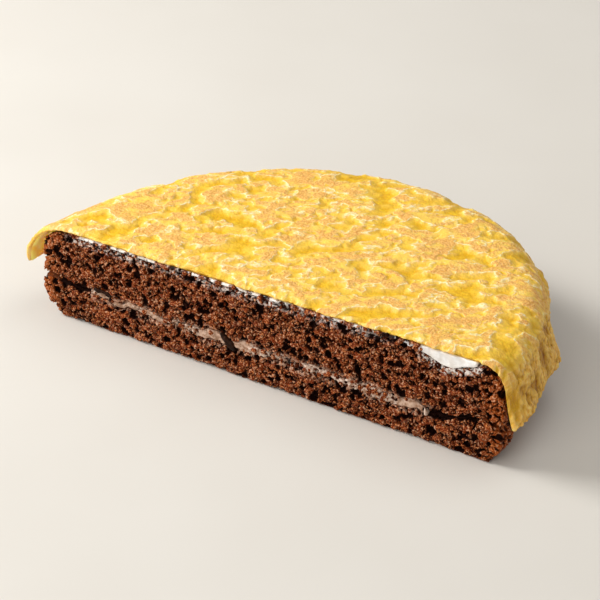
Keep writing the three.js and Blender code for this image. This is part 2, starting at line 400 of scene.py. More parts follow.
# %% Torn crumb
COARSE_GRANULES = {"cell": 1.8 * MM, "smallest": 0.3, "widest": 0.6, "shift": 0.1}
FINE_GRANULES = {"cell": 1.0 * MM, "smallest": 0.36, "widest": 0.58, "shift": 0.4}
LARGE_BUBBLES = {"cell": 5.0 * MM, "smallest": 0.08, "widest": 0.36, "shift": 0.0}
SMALL_BUBBLES = {"cell": 2.6 * MM, "smallest": 0.2, "widest": 0.55, "shift": 0.7}
GRANULE_HEIGHT = 0.6 * MM
BUBBLE_DEPTH = 2.2 * MM
BEND_SIZE = 2.4 * MM
BEND_REACH = 1.8 * MM


def torn_crumb(position, normal):
    """Height of torn crumb, and the random tone of its granules."""
    position = position.vector("ADD", position.stray(BEND_SIZE, BEND_REACH))
    coarse, tone = granules(position, normal, **COARSE_GRANULES)
    fine, _ = granules(position, normal, **FINE_GRANULES)
    holes = bubbles(position, normal, **LARGE_BUBBLES)
    holes = holes.above(bubbles(position, normal, **SMALL_BUBBLES))
    return coarse.above(fine).below(GRANULE_HEIGHT) - holes.below(BUBBLE_DEPTH), tone


print("crumb reaches from", -(GRANULE_GAP + BUBBLE_DEPTH) / MM, "to", GRANULE_HEIGHT / MM, "mm")

# %% [markdown]
# ## Where cream and crumb meet
#
# The knife drags cream over the crumb, but only in places. A mask could be painted by hand. A few dabs,
# each with its place along the cut, its width and how full it is, are quicker to change, and the sponge and
# the creams can share them. The solids themselves tell how far a point lies from the next layer. The line
# between the layers also wanders up and down, and one field moves every piece there, so that none parts
# from the next.

# %% Where cream lies open at the cut
ALONG = (1.0, 0.0, 0.0)
FILLING_DABS = (
    (-48.5 * MM, 16.0 * MM, 0.75),
    (-13.5 * MM, 11.0 * MM, 1.1),
    (52.2 * MM, 5.0 * MM, 1.1),
)
WHITE_DABS = (
    (-55.0 * MM, 20.0 * MM, 0.54),
    (-29.0 * MM, 16.0 * MM, 0.42),
    (-1.0 * MM, 17.0 * MM, 0.56),
    (27.0 * MM, 20.0 * MM, 0.4),
    (66.0 * MM, 12.5 * MM, 1.2),
)
DAB_CORE = 0.7


def dab_share(position, dabs):
    """How open cream lies along the cut. Each dab has its middle, its half width and how full it is."""
    along = position.dot(ALONG)
    total = along * 0.0
    for middle, half, full in dabs:
        total = total.above(full * (1.0 - abs(along - middle).rise(DAB_CORE * half, half)))
    return total


def away_from(position, node):
    """How far a point lies from another solid."""
    other = position.node("GeometryNodeObjectInfo", {}, {"Object": frame["nodes"][node]}, "Geometry")
    settings = {"target_element": "FACES"}
    return position.node("GeometryNodeProximity", settings, {"Target": other}, "Distance")


print("cream lies open in", len(FILLING_DABS), "dabs of filling and", len(WHITE_DABS), "of white")

# %% A wavy seam
BACK = (0.0, 1.0, 0.0)
UP = (0.0, 0.0, 1.0)
CUT_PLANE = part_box("sponge_upper")[0].y
SEAM_LEVEL = 12.0 * MM
SEAM_WAVE = 5.0 * MM
WAVE_SIZE = 6.0 * MM
WAVE_BAND = (1.0 * MM, 5.0 * MM)
WAVE_DEPTH = (1.0 * MM, 6.0 * MM)


def behind_cut(position):
    """How far a point lies behind the plane of the cut."""
    return position.dot(BACK) - CUT_PLANE


def wavy_seam(position, geometry):
    """Lets the line between the layers wander up and down at the cut, alike on every piece."""
    beside = 1.0 - abs(position.dot(UP) - SEAM_LEVEL).rise(*WAVE_BAND)
    at_cut = 1.0 - behind_cut(position).rise(*WAVE_DEPTH)
    lift = position.bumps(WAVE_SIZE, SEAM_WAVE, detail=1.0) * beside * at_cut
    return move(geometry, lift.node("ShaderNodeCombineXYZ", {}, {"Z": lift}))


print("the cut lies at y =", round(CUT_PLANE / MM, 2), "mm")

# %% [markdown]
# ## The sponge layers
#
# The cut face is torn all over. The baked side has a skin, with small pores and only half of the torn
# relief. Where the two layers touch, the crumb draws back, so that a gap shows, and the gap is also painted
# dark as shade. One fine remesh of everything would be simple, but most of it would be wasted: the level
# faces inside the cake can't be seen.
# So the remesh is coarse, only the faces that show are split further, and the hidden ones are thinned out.

# %% The foot at the right end of the cut
FOOT_REACH = 2.4 * MM
FOOT_SIDE = (66.0 * MM, 78.0 * MM)
FOOT_DEPTH = (5.0 * MM, 18.0 * MM)
FOOT_BOTTOM = (1.0 * MM, 6.0 * MM)
FOOT_TOP = (9.5 * MM, 12.5 * MM)


def right_foot(position):
    """How far the lower layer spreads at the right end of the cut."""
    along = position.dot(ALONG).rise(*FOOT_SIDE)
    at_cut = 1.0 - behind_cut(position).rise(*FOOT_DEPTH)
    level = position.dot(UP)
    low = level.rise(*FOOT_BOTTOM) * (1.0 - level.rise(*FOOT_TOP))
    return FOOT_REACH * along * at_cut * low


# %% The baked side
SIDE_PORES = {"cell": 1.5 * MM, "smallest": 0.2, "widest": 0.5, "shift": 0.9}
PORE_DEPTH = 0.8 * MM
SKIN_SIZE = 2.0 * MM
SKIN_HEIGHT = 0.5 * MM


def baked_skin(position, normal, torn):
    """Height of the baked side: a skin with small pores and half of the torn relief."""
    pores = bubbles(position, normal, **SIDE_PORES).below(PORE_DEPTH)
    return position.bumps(SKIN_SIZE, SKIN_HEIGHT) - 0.6 * pores + 0.5 * torn


# %% The relief of a sponge layer
FRONT = (0.0, -1.0, 0.0)
FLOOR_MARGIN = 0.8 * MM
RAGGED_EDGE = 3.0 * MM
SEAM_GAP = (0.3 * MM, 1.5 * MM)
SEAM_DEPTH = 1.1 * MM
WHITE_REACH = (0.5 * MM, 3.0 * MM)
SMEAR_REACH = (0.4 * MM, 2.4 * MM)
SWELL_SIZE = 8.0 * MM
SWELL_HEIGHT = 1.2 * MM
GRIT_SIZE = 0.55 * MM
GRIT_HEIGHT = 0.35 * MM
PIT_SPAN = 1.6 * MM


def crumb_beside(other):
    """A relief tree for a sponge layer, with a gap towards the other layer where the two touch."""

    def crumb(position, normal, geometry):
        off_floor = position.dot(UP).rise(0.0, FLOOR_MARGIN)
        front = normal.dot(FRONT).rise(0.35, 0.75) * off_floor
        level = normal.dot(UP)
        side = (1.0 - (level * level).rise(0.3, 0.7)) * (1.0 - front) * off_floor
        height, tone = torn_crumb(position, normal)
        ragged = position.bumps(RAGGED_EDGE, RAGGED_EDGE)
        seam = 1.0 - (away_from(position, other) + ragged).rise(*SEAM_GAP)
        whitened = 1.0 - away_from(position, "top_cream").rise(*WHITE_REACH)
        whitened = whitened * dab_share(position, WHITE_DABS)
        height = height * (1.0 - 0.75 * whitened.below(1.0)) - SEAM_DEPTH * seam
        swell = position.bumps(SWELL_SIZE, SWELL_HEIGHT)
        skin = baked_skin(position, normal, height)
        smeared = 1.0 - away_from(position, "filling_cream").rise(*SMEAR_REACH)
        # pit grows with depth and along the seam between the layers; the finishes paint shade from it,
        # darkest in the pits and in that gap.
        pit = (front * height + side * skin) * (-1 / PIT_SPAN) + 0.3 + 0.35 * seam
        geometry = keep(geometry, "pit", pit)
        geometry = keep(geometry, "tone", tone)
        geometry = keep(geometry, "smeared", smeared)
        geometry = keep(geometry, "whitened", whitened)
        pushed = push(geometry, normal, front * (height + swell) + side * (skin + right_foot(position)))
        fresh = pushed.node("GeometryNodeInputNormal", {}, {})
        grit = position.bumps(GRIT_SIZE, GRIT_HEIGHT, detail=1.0) * (front + 0.5 * side)
        return wavy_seam(position, push(pushed, fresh, grit))

    return crumb


# %% Choose faces by code
def select_faces(piece, chosen):
    """Selects the faces of piece for which chosen(face) is true, and leaves it in edit mode."""
    pick(piece)
    bpy.ops.object.mode_set(mode="EDIT")
    bpy.ops.mesh.select_mode(type="FACE")
    bpy.ops.mesh.select_all(action="DESELECT")
    bpy.ops.object.mode_set(mode="OBJECT")
    for face in piece.data.polygons:
        face.select = chosen(face)
    bpy.ops.object.mode_set(mode="EDIT")


def split_faces(piece, chosen, cuts):
    """Cuts each edge of the chosen faces so many times."""
    select_faces(piece, chosen)
    bpy.ops.mesh.subdivide(number_cuts=cuts)
    bpy.ops.object.mode_set(mode="OBJECT")


# %% Thin what is hidden
LEVEL_ENOUGH = 0.8
HIDDEN_DEPTH = 5.0 * MM
HIDDEN_SHARE = 0.06


def lies_hidden(face):
    """Whether a face is level and inside the cake."""
    return abs(face.normal.z) > LEVEL_ENOUGH and face.center.y > CUT_PLANE + HIDDEN_DEPTH


def thin_hidden(piece):
    """Thins the hidden faces to a small share of their triangles."""
    select_faces(piece, lies_hidden)
    bpy.ops.mesh.decimate(ratio=HIDDEN_SHARE)
    bpy.ops.object.mode_set(mode="OBJECT")
    piece.data.validate()


def smooth(piece):
    """Shades a whole piece smooth."""
    pick(piece)
    bpy.ops.object.shade_smooth()


# %% The two layers
CRUMB_VOXEL = 0.66 * MM
FRONT_DEPTH = 3.0 * MM


def faces_front(face):
    """Whether a face belongs to the cut."""
    return face.normal.y < -0.5 and face.center.y < CUT_PLANE + FRONT_DEPTH


def faces_out(face):
    """Whether a face belongs to the baked side."""
    return abs(face.normal.z) < LEVEL_ENOUGH and not faces_front(face)


def soften(piece):
    """Rounds the small steps that a voxel remesh leaves."""
    modify(piece, "SMOOTH", factor=0.5, iterations=4)


def sponge(node, other, shown):
    """A dressed sponge layer. shown holds pairs of a test for faces and how often to cut their edges."""
    piece = copy_of(node)
    modify(piece, "REMESH", mode="VOXEL", voxel_size=CRUMB_VOXEL)
    soften(piece)
    for chosen, cuts in shown:
        split_faces(piece, chosen, cuts)
    relieve(piece, crumb_beside(other))
    thin_hidden(piece)
    smooth(piece)
    report(piece)
    return piece


sponge_layers = [
    sponge("sponge_lower", "sponge_upper", ((faces_out, 1), (faces_front, 2))),
    sponge("sponge_upper", "sponge_lower", ((faces_front, 2),)),
]

# %% [markdown]
# ## The creams
#
# Both creams are soft, and the knife has pulled crumb into them. The filling shows as a broken line with a
# few smooth dabs, and the white cream as specks under the crepe with one thick wedge at the right. Clean
# cream could be modelled with a few slow swells, but most of it is torn. So both start from their solids:
# open dabs get slow swells, and elsewhere the same torn relief as the crumb runs on across the seam. The
# white cream also rises a little, to touch the crepe.

# %% Roughen the creams
SOFT_SIZE = 3.2 * MM
DAB_EDGE_SIZE = 2.2 * MM


def smeared_front(dabs, swell_height, grip):
    """A relief tree for cream: open dabs swell, the rest is torn like crumb, and the top rises by grip."""

    def build(position, normal, geometry):
        front = normal.dot(FRONT).rise(0.2, 0.7)
        height, tone = torn_crumb(position, normal)
        soft = position.bumps(SOFT_SIZE, swell_height, middle=0.45)
        uneven = 1.8 * (position.noise(DAB_EDGE_SIZE) - 0.5)
        dab = (dab_share(position, dabs) + uneven).rise(0.45, 0.6)
        top = normal.dot(UP).rise(0.5, 0.9)
        geometry = keep(geometry, "tone", tone)
        geometry = keep(geometry, "dab", dab)
        geometry = keep(geometry, "pit", height * (-0.5 / PIT_SPAN) + 0.15)
        pushed = push(geometry, normal, front * (dab * soft + (1.0 - dab) * (0.8 * height)) + top * grip)
        return wavy_seam(position, pushed)

    return build


# %% The two creams
CREAM_VOXEL = 0.35 * MM


def cream(node, relief):
    """A dressed cream, with its own relief tree."""
    piece = copy_of(node)
    modify(piece, "REMESH", mode="VOXEL", voxel_size=CREAM_VOXEL)
    relieve(piece, relief)
    thin_hidden(piece)
    smooth(piece)
    report(piece)
    return piece


filling_relief = smeared_front(FILLING_DABS, swell_height=1.2 * MM, grip=0.0)
filling = cream("filling_cream", filling_relief)
white_relief = smeared_front(WHITE_DABS, swell_height=1.0 * MM, grip=0.25 * MM)
white_cream = cream("top_cream", white_relief)

# %% [markdown]
# ## Loose crumbs
#
# Small crumbs cling to the cut cream. Placing them by hand would be slow, and a particle system isn't mesh.
# One crumb is enough to model: a coarse ball with its points jittered. Geometry Nodes scatters copies of it
# over the front of each cream, with a size and a turn of their own, and makes them real mesh.

# %% One crumb
CRUMB_RADIUS = 0.5 * MM
CRUMB_JITTER = 0.12 * MM

bpy.ops.object.select_all(action="DESELECT")
bpy.ops.mesh.primitive_uv_sphere_add(
    segments=7, ring_count=5, radius=CRUMB_RADIUS, location=(0.0, 0.0, 0.0),
)
one_crumb = bpy.context.object
one_crumb.name = "one_crumb"
bpy.ops.object.mode_set(mode="EDIT")
bpy.ops.transform.vertex_random(offset=CRUMB_JITTER, uniform=0.6, seed=4)
bpy.ops.object.mode_set(mode="OBJECT")
report(one_crumb)

# %% Scatter it over the creams
SCATTER_SEED = 3
SMALLEST_CRUMB = 0.6
CRUMB_SPREAD = 1.1
FULL_TURNS = (math.tau, math.tau, math.tau)


def scattered(density, sparse_share):
    """A tree that swaps a piece for crumbs on its front, so many on a square metre, fewer on open dabs."""

    def build(position, normal, geometry):
        here = normal.dot(FRONT) > 0.5
        dab = geometry.node("GeometryNodeInputNamedAttribute", {"data_type": "FLOAT"}, {"Name": "dab"})
        often = density * (1.0 - (1.0 - sparse_share) * dab) * here
        sockets = {"Mesh": geometry, "Density": often, "Seed": SCATTER_SEED}
        settings = {"distribute_method": "RANDOM"}
        points = geometry.node("GeometryNodeDistributePointsOnFaces", settings, sockets)
        sockets = {"Min_001": 0.0, "Max_001": 1.0}
        share = points.node("FunctionNodeRandomValue", {"data_type": "FLOAT"}, sockets, 1)
        points = keep(points, "tone", share)
        settings = {"data_type": "FLOAT_VECTOR"}
        sockets = {
            "Points": points,
            "Instance": points.node("GeometryNodeObjectInfo", {}, {"Object": one_crumb}, "Geometry"),
            "Rotation": points.node("FunctionNodeRandomValue", settings, {"Max": FULL_TURNS}),
            "Scale": SMALLEST_CRUMB + CRUMB_SPREAD * share,
        }
        crumbs = points.node("GeometryNodeInstanceOnPoints", {}, sockets)
        return crumbs.node("GeometryNodeRealizeInstances", {}, {"Geometry": crumbs})

    return build


def crumbs_on(piece, density, sparse_share):
    """Crumbs on the front of a piece, as an object of their own."""
    pick(piece)
    bpy.ops.object.duplicate()
    crumbs = bpy.context.object
    for key in [key for key in crumbs.keys() if key.startswith("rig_")]:
        del crumbs[key]
    relieve(crumbs, scattered(density, sparse_share))
    return crumbs


# %% Crumbs on both creams, as one piece
loose_crumbs = crumbs_on(white_cream, density=0.5e6, sparse_share=0.04)
filling_crumbs = crumbs_on(filling, density=0.35e6, sparse_share=0.3)
pick(loose_crumbs)
filling_crumbs.select_set(True)
bpy.ops.object.join()
loose_crumbs.name = "loose_crumbs"
loose_crumbs.data.materials.clear()
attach(loose_crumbs, "root")
smooth(loose_crumbs)
bpy.data.objects.remove(one_crumb)
report(loose_crumbs)

# %% [markdown]
# ## The chocolate chips
#
# Each chip is a small broken piece of chocolate that has softened at its edges. A bevel would round the
# edges of the plain rod evenly. A fine voxel remesh and noise give it a melted, uneven face instead.

# %% Round the chips
CHIP_VOXEL = 0.25 * MM
MELT_SIZE = 2.2 * MM
MELT_HEIGHT = 1.6 * MM


def melt(position, normal, geometry):
    """A relief tree that makes a chip uneven, as if half melted."""
    pushed = push(geometry, normal, position.bumps(MELT_SIZE, MELT_HEIGHT, middle=0.45))
    return wavy_seam(position, pushed)


def chip(node):
    """A dressed chip."""
    piece = copy_of(node)
    modify(piece, "REMESH", mode="VOXEL", voxel_size=CHIP_VOXEL)
    soften(piece)
    relieve(piece, melt)
    smooth(piece)
    report(piece)
    return piece


chips = [chip("chocolate_chip_left"), chip("chocolate_chip_middle")]

# %% [markdown]
# ## The crepe
#
# A crepe is poured thin and touches the pan only in places. Where it touched, it is tan and a little
# leathery. Between those places lie soft yellow dimples, with thin crests along their rims that a painted
# highlight makes pale. Cloth physics could drape a sheet, but the solid already has the drape and the slow
# bumps, and a relief tree adds the rest. The pattern belongs to the sheet, not to the room, so it is drawn
# on the sheet laid out flat: the hanging part is folded outwards, by only a share of its height, which also
# draws the dimples there out into upright wrinkles.

# %% The sheet laid out flat
ROUND_MIDDLE = Vector((1.2 * MM, CUT_PLANE, 0.0))
SHOULDER_LEVEL = 32.0 * MM
HANGING_SHARE = 0.6
IN_PLAN = (1.0, 1.0, 0.0)


def from_middle(position):
    """The way to a point from the middle of the round, seen from above, and how long it is."""
    out = position.vector("SUBTRACT", ROUND_MIDDLE).vector("MULTIPLY", IN_PLAN)
    return out, out.dot(out) ** 0.5


def laid_out(position):
    """Where a point of the crepe would be if its hanging part were folded outwards."""
    out, reach = from_middle(position)
    drop = (SHOULDER_LEVEL - position.dot(UP)).above(0.0)
    return out.scaled(1.0 + HANGING_SHARE * (drop / reach))


# %% [markdown]
# ## The marks of the pan
#
# Relief and finish need the same pattern: a dimple has to be deep where it is yellow. It could be stored on
# the points, but the points are further apart than the finest marks. So one function adds the nodes, to the
# relief tree and to the finish, from the place on the flat sheet that each point remembers. Dimples are
# where slow noise is low, and the pattern is drawn out to one side, as batter is when it is poured.

# %% Dimples, browned places and crests
PAN_TURN = math.radians(-31.788)
PAN_SHIFT = (0.35, 0.2, 0.0)
PAN_STRETCH = (1.0, 1.3, 1.0)
SLOW_STRAY = (8.0 * MM, 7.0 * MM)
QUICK_STRAY = (2.0 * MM, 1.8 * MM)
REGION_SIZE = 22.0 * MM
POOL_SIZE = 8.5 * MM
DENT_SIZE = 4.0 * MM
DENT_SHARE = 0.405
BROWNED_SIZE = 6.0 * MM
CREST_SIZE = 4.0 * MM
STEEPNESS = 8.0
CREST_SHARPNESS = 4.0


def sheet_marks(flat):
    """What the pan left on the sheet, for relief and finish alike.

    Gives how deep a point lies in a dimple, how browned it is, and how near a thin crest, each from 0 to 1.
    """
    sockets = {"Vector": flat, "Angle": PAN_TURN}
    turned = flat.node("ShaderNodeVectorRotate", {"rotation_type": "Z_AXIS"}, sockets)
    turned = turned.vector("ADD", PAN_SHIFT)
    drawn = turned.vector("MULTIPLY", PAN_STRETCH)
    place = drawn.vector("ADD", drawn.stray(*SLOW_STRAY))
    place = place.vector("ADD", drawn.stray(*QUICK_STRAY))
    share = 0.41 + 0.14 * turned.noise(REGION_SIZE).rise(0.35, 0.65)
    pools = (share - place.noise(POOL_SIZE, detail=1.5)) * STEEPNESS
    dents = (DENT_SHARE - place.noise(DENT_SIZE, detail=1.0)) * STEEPNESS
    depth = pools.above(dents)
    sunk = depth.rise(-0.5, 1.5)
    browned = place.noise(BROWNED_SIZE, detail=2.5).rise(0.34, 0.54)
    browned = browned * (1.0 - depth.rise(-0.7, 0.6))
    along_rim = (1.0 - abs(depth + 0.1) * CREST_SHARPNESS).above(0.0)
    crest = along_rim * place.noise(CREST_SIZE).rise(0.36, 0.55)
    return sunk, browned, crest


# %% Inside, outside and hem
UNDER_CREPE = Vector((0.0, 0.0, -100 * MM))
HEM_STEPS = 8


def faces_in(position, normal):
    """1 on the inside of the sheet, and 0 on its outside."""
    return normal.dot(position.vector("SUBTRACT", UNDER_CREPE)) < 0.0


def near_hem(position, inside):
    """How near the hem a point lies on the outside of the sheet, and on its inside. Each is from 0 to 1."""
    sockets = {"Value": inside, "Iterations": HEM_STEPS}
    blurred = position.node("GeometryNodeBlurAttribute", {"data_type": "FLOAT"}, sockets)
    off_cut = behind_cut(position).rise(1.0 * MM, 5.0 * MM)
    return blurred * off_cut, (1.0 - blurred.rise(0.8, 0.98)) * off_cut


# %% The relief of the crepe
WRINKLE_SIZE = 2.6 * MM
DEEPEST = -0.7


def blisters(position, normal, geometry):
    """A relief tree for the crepe: dimples, crests and wrinkles on its outside, first in millimetres."""
    hanging = 1.0 - normal.dot(UP).rise(0.25, 0.75)
    flat = laid_out(position)
    sunk, _, crest = sheet_marks(flat)
    wrinkle = flat.noise(WRINKLE_SIZE)
    high = 0.35 - 0.9 * sunk + 0.2 * crest + (0.7 + 1.4 * hanging) * (wrinkle - 0.5)
    inside = faces_in(position, normal)
    hem, rim = near_hem(position, inside)
    geometry = keep(geometry, "sheet", flat, kind="FLOAT_VECTOR")
    geometry = keep(geometry, "hanging", hanging)
    geometry = keep(geometry, "hem", hem)
    geometry = keep(geometry, "rim", rim)
    geometry = keep(geometry, "inside", inside)
    return push(geometry, normal, high.above(DEEPEST) * MM * (1.0 - inside))


# %% Dress the crepe
SHARP_EDGE = math.radians(60)


def faces_up(face):
    """Whether a face belongs to the outside of the sheet."""
    return face.normal.dot(face.center - UNDER_CREPE) > 0


crepe = copy_of("crepe")
pick(crepe)
bpy.ops.object.mode_set(mode="EDIT")
bpy.ops.mesh.select_all(action="SELECT")
bpy.ops.mesh.tris_convert_to_quads()
bpy.ops.object.mode_set(mode="OBJECT")
modify(crepe, "SUBSURF", levels=1, render_levels=1)
split_faces(crepe, faces_up, 3)
relieve(crepe, blisters)
pick(crepe)
bpy.ops.object.shade_smooth_by_angle(angle=SHARP_EDGE)
report(crepe)

# %% [markdown]
# ## Finishes
#
# A finish could be painted on an image, but that needs an unwrapped mesh and blurs when seen from near.
# Every finish here is made of nodes. It reads Object coordinates, or on the crepe the place on the flat
# sheet, so its pattern has a real size and runs on from one face to the next. It also reads the other
# attributes that the relief left.


# %% Start a finish
def finish(name, build):
    """A material whose colour, roughness and height come from build(coordinates)."""
    material = bpy.data.materials.new(name)
    material.use_nodes = True
    tree = material.node_tree
    tree.nodes.clear()
    start = Wire(tree)
    coordinates = start.node("ShaderNodeTexCoord", {}, {}, "Object")
    made = build(coordinates)
    sockets = {"Height": made["height"], "Distance": made["bump"], "Strength": 1.0}
    bump = start.node("ShaderNodeBump", {}, sockets)
    sockets = {"Base Color": made["colour"], "Roughness": made["roughness"], "Normal": bump}
    sockets.update(made.get("constants", {}))
    shader = start.node("ShaderNodeBsdfPrincipled", {}, sockets)
    start.node("ShaderNodeOutputMaterial", {}, {"Surface": shader})
    print(name, "is made of", len(tree.nodes), "nodes")
    return material


def mix(factor, first, second):
    """The first colour where factor is 0, and the second where it is 1."""
    sockets = {"Factor_Float": factor, "A_Color": first, "B_Color": second}
    return factor.node("ShaderNodeMix", {"data_type": "RGBA"}, sockets, "Result_Color")


def stored(wire, name):
    """What the relief stored under a name."""
    return wire.node("ShaderNodeAttribute", {"attribute_name": name}, {}, "Fac")


# %% [markdown]
# ### Cocoa crumb
#
# Each granule has a brown of its own, with a moist gloss and painted highlights and glints on top. The gaps
# between them are painted nearly black as shade, and the baked side is a lighter, redder brown. One brown
# with strong bump would look like plastic. So the tone comes from the granule, the painted shade from how
# deep a point lies, and cream lies on the tops where it was smeared. The gloss is tinted, because a white
# one would turn so dark a brown grey.

# %% The colours of the crumb
GRAIN_SIZE = 0.45 * MM
PATCH_SIZE = 10.0 * MM
PAINTED_GLINT_SIZE = 0.7 * MM
BAKED_RADIUS = (76.0 * MM, 85.0 * MM)
BAKED_WANDER = 6.0 * MM


def crumb_colour(coordinates):
    """Brown granules of many tones, with painted highlights and glints on their tops, and painted shade,
    nearly black, in the pits between them.
    """
    pit = stored(coordinates, "pit")
    tone = stored(coordinates, "tone")
    grain = coordinates.noise(GRAIN_SIZE, detail=1.0)
    patch = coordinates.noise(PATCH_SIZE)
    brown = mix(tone, rgb("380a00"), rgb("84320a"))
    brown = mix(0.6 * patch.rise(0.45, 0.65), brown, rgb("6c2402"))
    _, reach = from_middle(coordinates)
    baked = (reach + BAKED_WANDER * patch).rise(*BAKED_RADIUS)
    brown = mix(0.75 * baked, brown, rgb("ac5016"))
    # Painted highlight: a lighter brown on the granule tops, away from the pits.
    brown_with_painted_highlights = mix(grain.rise(0.52, 0.66) * (1.0 - pit.rise(0.1, 0.45)), brown, rgb("dc8850"))
    # Painted glints: small pale spots on the granule tops.
    painted_glint = coordinates.noise(PAINTED_GLINT_SIZE, detail=0.0).rise(0.6, 0.74)
    brown_with_painted_highlights = mix(0.7 * (painted_glint * (1.0 - pit.rise(0.1, 0.4))), brown_with_painted_highlights, rgb("f0b890"))
    # Painted shade: nearly black where a point lies deep in a pit or gap.
    return mix(pit.rise(0.08, 0.54), brown_with_painted_highlights, rgb("120000"))


# %% Crumb with smears of cream
FLECK_SIZE = 1.1 * MM


def cocoa_crumb(coordinates):
    """Moist crumb, with smears of each cream near it."""
    grain = coordinates.noise(GRAIN_SIZE, detail=1.0)
    fleck = coordinates.noise(FLECK_SIZE)
    pit = stored(coordinates, "pit")
    on_top = 1.0 - pit.rise(0.2, 0.6)
    smear = stored(coordinates, "smeared") * fleck.rise(0.46, 0.58) * on_top
    white = (1.6 * stored(coordinates, "whitened")).below(1.0) * fleck.rise(0.46, 0.56) * on_top
    colour = mix(0.85 * smear, crumb_colour(coordinates), rgb("d0a88e"))
    return {
        "colour": mix(0.9 * white, colour, rgb("efe6dc")),
        "roughness": 0.2 + 0.2 * grain + 0.4 * pit.rise(0.2, 0.6),
        "height": grain,
        "bump": 0.6 * MM,
        "constants": {"Specular IOR Level": 0.18, "Specular Tint": (1.0, 0.55, 0.4, 1.0)},
    }


crumb_finish = finish("cocoa_crumb", cocoa_crumb)
for piece in sponge_layers + [loose_crumbs]:
    piece.data.materials.append(crumb_finish)

# %% [markdown]
# ### Creams
#
# The filling is a warm beige, and the cream under the crepe a clean white. Both have crumb in them, so
# neither can be one colour. Crumb and cream could be two objects, but one surface is simpler: where the
# relief made an open dab it is cream, and elsewhere it has the colour of crumb under a broken coat of
# cream.


# %% Filling cream and white cream
def filling_smear(coordinates):
    """Beige dabs, and crumb coated with beige between them."""
    pit = stored(coordinates, "pit")
    dab = stored(coordinates, "dab")
    fleck = coordinates.noise(FLECK_SIZE)
    coated = mix(fleck.rise(0.35, 0.65), rgb("a87e62"), rgb("ecd2be"))
    smeared = mix((1.2 * fleck - 0.9 * pit).rise(0.1, 0.35), crumb_colour(coordinates), coated)
    smooth_dab = mix(fleck.rise(0.35, 0.65), rgb("9e7458"), rgb("d2b098"))
    return {
        "colour": mix(dab, smeared, smooth_dab),
        "roughness": 0.4 + 0.2 * fleck,
        "height": fleck,
        "bump": 0.2 * MM,
        "constants": {"Specular IOR Level": 0.35},
    }


def whipped_white(coordinates):
    """White dabs and specks, and bare crumb between them."""
    soft = coordinates.noise(2.5 * MM)
    dab = stored(coordinates, "dab")
    white = mix(soft.rise(0.3, 0.7), rgb("f4ede4"), rgb("fdfaf6"))
    return {
        "colour": mix(dab.above(0.8 * soft.rise(0.54, 0.62)), crumb_colour(coordinates), white),
        "roughness": 0.4 + 0.2 * soft,
        "height": soft,
        "bump": 0.2 * MM,
    }


filling.data.materials.append(finish("filling_smear", filling_smear))
white_cream.data.materials.append(finish("whipped_white", whipped_white))

# %% [markdown]
# ### Chocolate
#
# The chips are nearly black, with a soft gloss and a faint bloom where they have been warm. A smooth gloss
# would show the lights as hard spots, so noise varies the gloss as well as the colour.


# %% Dark chocolate
def dark_chocolate(coordinates):
    """Nearly black chocolate with a faint bloom."""
    bloom = coordinates.noise(1.5 * MM)
    return {
        "colour": mix(bloom.rise(0.4, 0.7), rgb("120602"), rgb("2e160a")),
        "roughness": 0.4 + 0.3 * bloom,
        "height": bloom,
        "bump": 0.3 * MM,
        "constants": {"Specular IOR Level": 0.15, "Specular Tint": (1.0, 0.7, 0.55, 1.0)},
    }


chocolate_finish = finish("dark_chocolate", dark_chocolate)
for piece in chips:
    piece.data.materials.append(chocolate_finish)

# %% [markdown]
# ### Crepe
#
# Yellow dimples and tan places that touched the pan come from the marks of the pan, and the crests between
# them get a pale painted highlight. The part that hangs is painted a deeper, warmer yellow for the shade it
# stands in and the warm bounce light on it, with painted brown shade in the furrows between its wrinkles
# and painted highlights on its ridges, and its hem is browned. A glow could be faked with a brighter
# colour.
# Instead a little light scatters below the surface of the sheet, and much more below its thin inside.


# %% The colours of the crepe
def pan_colour(sunk, browned, wrinkle, speckle):
    """Yellow in the dimples, and tan where the sheet touched the pan."""
    deep = mix(wrinkle.rise(0.35, 0.65), rgb("dea810"), rgb("ecbc24"))
    yellow = mix(sunk, rgb("fad058"), deep)
    tan = mix(speckle.rise(0.38, 0.62), rgb("f2bc6e"), rgb("dc9644"))
    return mix(0.85 * browned, yellow, tan)


def hung_colour(base, hanging, off_cut, sunk, wrinkle, crinkle):
    """The colour of the part that hangs: a deeper yellow as painted shade and warm bounce light, painted
    brown shade in its furrows and painted highlights on its ridges.
    """
    # Painted shade and painted warm bounce light: the hanging part is a deeper, warmer yellow, deepest in
    # its dimples.
    base = mix(0.6 * hanging, base, mix(sunk, rgb("f8ba3a"), rgb("c88a00")))
    # Painted shade: dark brown in the furrows and dimples of the hanging part, away from the cut.
    painted_furrow_shade = 0.55 - 0.3 * wrinkle.rise(0.36, 0.52) - 0.25 * crinkle.rise(0.32, 0.52)
    base = mix(hanging * off_cut * (0.35 * sunk + painted_furrow_shade).below(1.0), base, rgb("8e4e00"))
    # Painted highlight: a pale yellow on the ridges of the hanging part.
    painted_ridge_highlight = 0.4 * wrinkle.rise(0.5, 0.6) + 0.3 * crinkle.rise(0.5, 0.6)
    return mix(hanging * painted_ridge_highlight * (1.0 - sunk), base, rgb("ffdc80"))


# %% Outside and inside of the crepe
SPECKLE_SIZE = 0.8 * MM
CRINKLE_SIZE = 1.3 * MM


